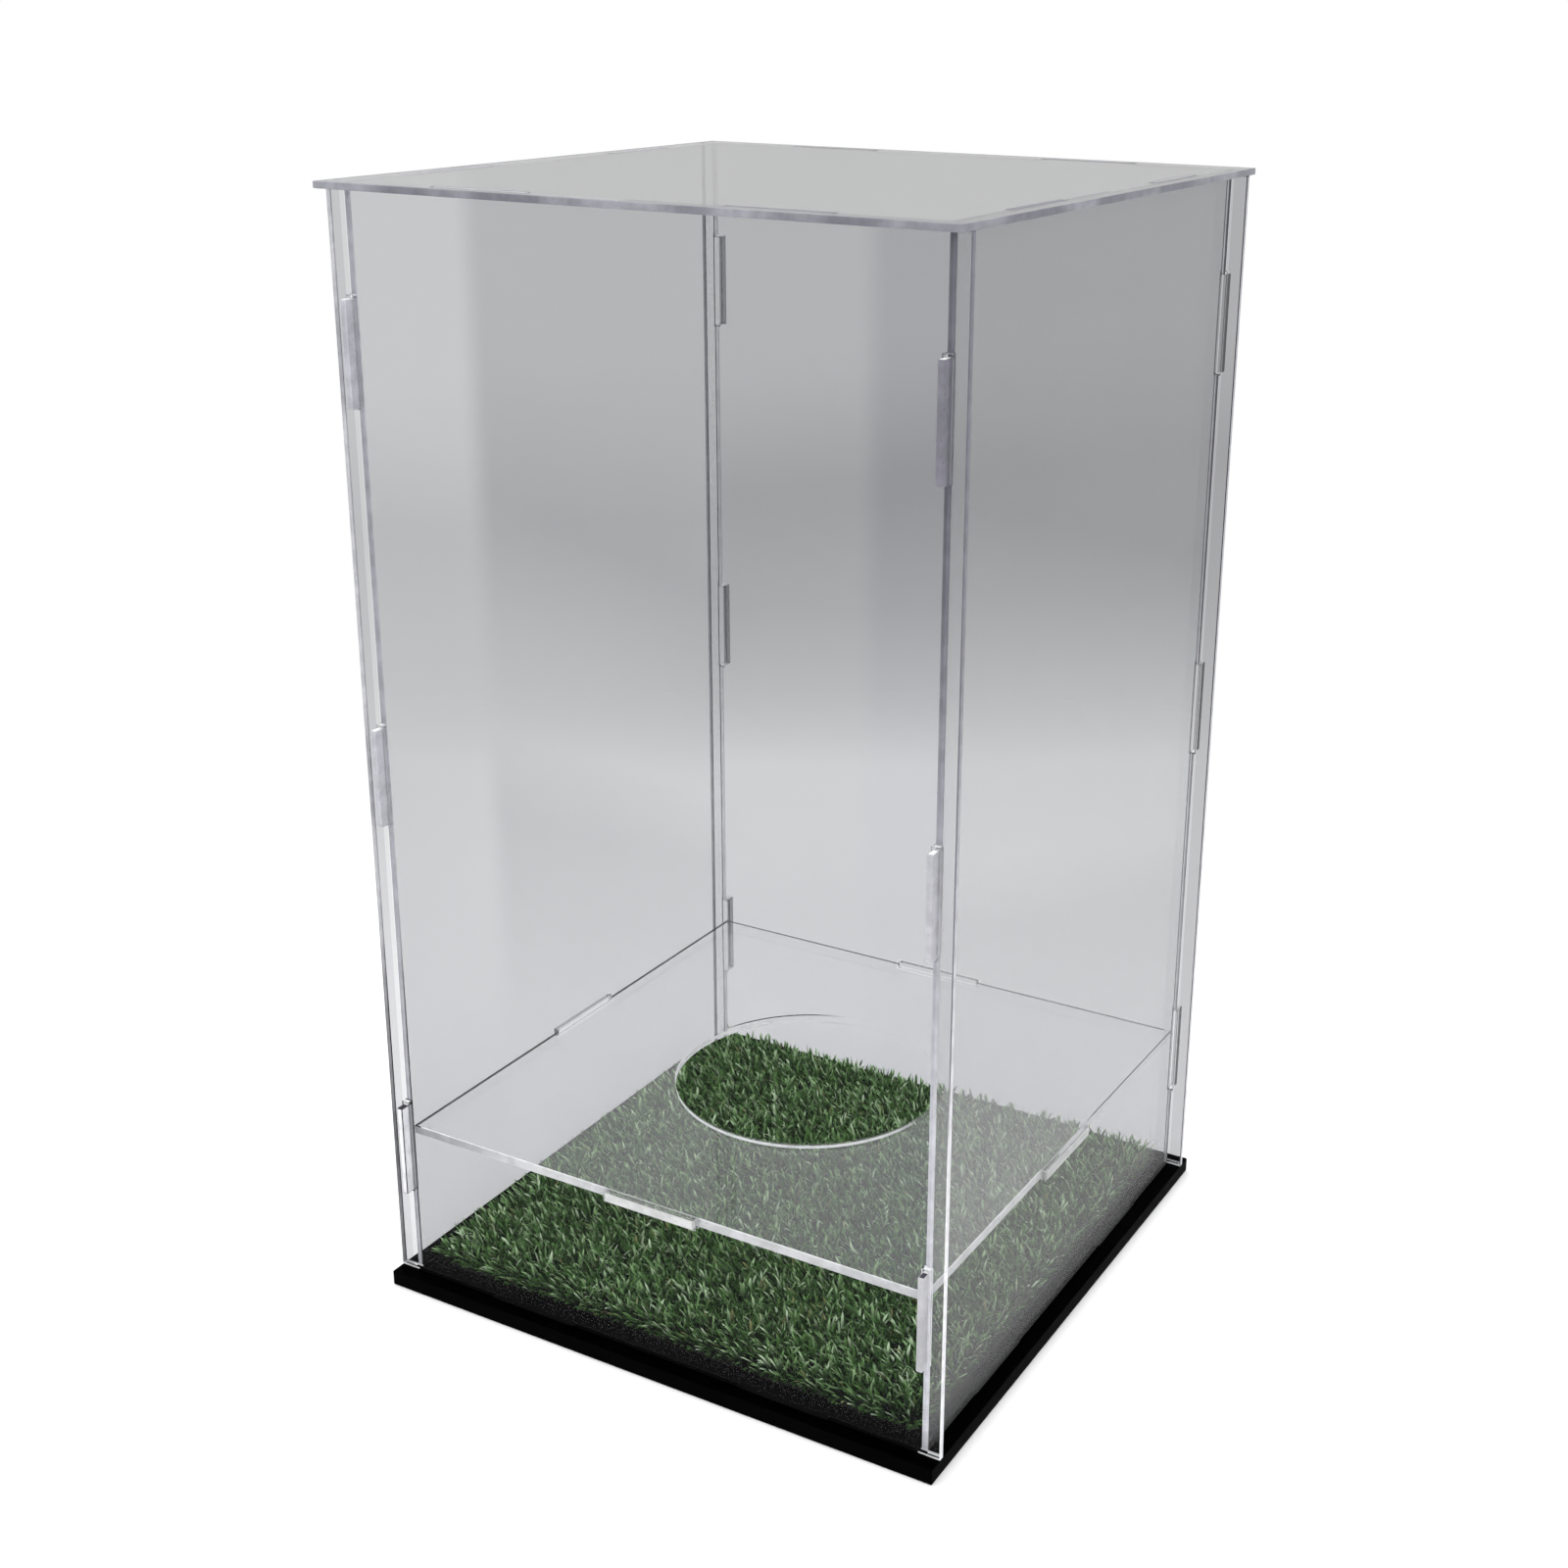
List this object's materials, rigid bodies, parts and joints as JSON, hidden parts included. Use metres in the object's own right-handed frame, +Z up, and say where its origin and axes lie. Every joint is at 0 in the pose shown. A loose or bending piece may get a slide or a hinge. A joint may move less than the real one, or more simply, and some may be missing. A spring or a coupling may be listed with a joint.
{
  "type": "football display case",
  "caption": "Tall clear acrylic display case on a black base with a turf mat; a raised shelf with a round hole seats a football upright on its tip under a lift-off lid.",
  "frame": {"origin": "middle of the base plate's underside, on the surface that the case stands on", "axes": "+Z up through the shelf's hole and the lid, -Y towards the front panel, +X to the right along the front"},
  "size_m": [0.2, 0.2, 0.353],
  "materials": {
    "black_acrylic": "black cast acrylic sheet, polished faces, satin saw-cut edges",
    "turf_backing": "woven backing cloth, dark, rough",
    "turf_pile": "short artificial grass blades in mixed greens with curly brown thatch",
    "clear_acrylic": "clear acrylic sheet, polished faces, laser-cut edges with a grey-violet cast"
  },
  "bodies": {
    "base": {"base_plate": "black_acrylic", "turf_backing": "turf_backing", "turf_pile": "turf_pile"},
    "case": {"front_panel": "clear_acrylic", "back_panel": "clear_acrylic", "left_panel": "clear_acrylic", "right_panel": "clear_acrylic", "ball_shelf": "clear_acrylic"},
    "lid": {"top_panel": "clear_acrylic"}
  },
  "joints": [
    {"name": "case_lift", "type": "slide", "parent": "base", "child": "case", "axis": [0, 0, 1], "range_m": [0, 0.1]},
    {"name": "lid_lift", "type": "slide", "parent": "case", "child": "lid", "axis": [0, 0, 1], "range_m": [0, 0.3]}
  ]
}
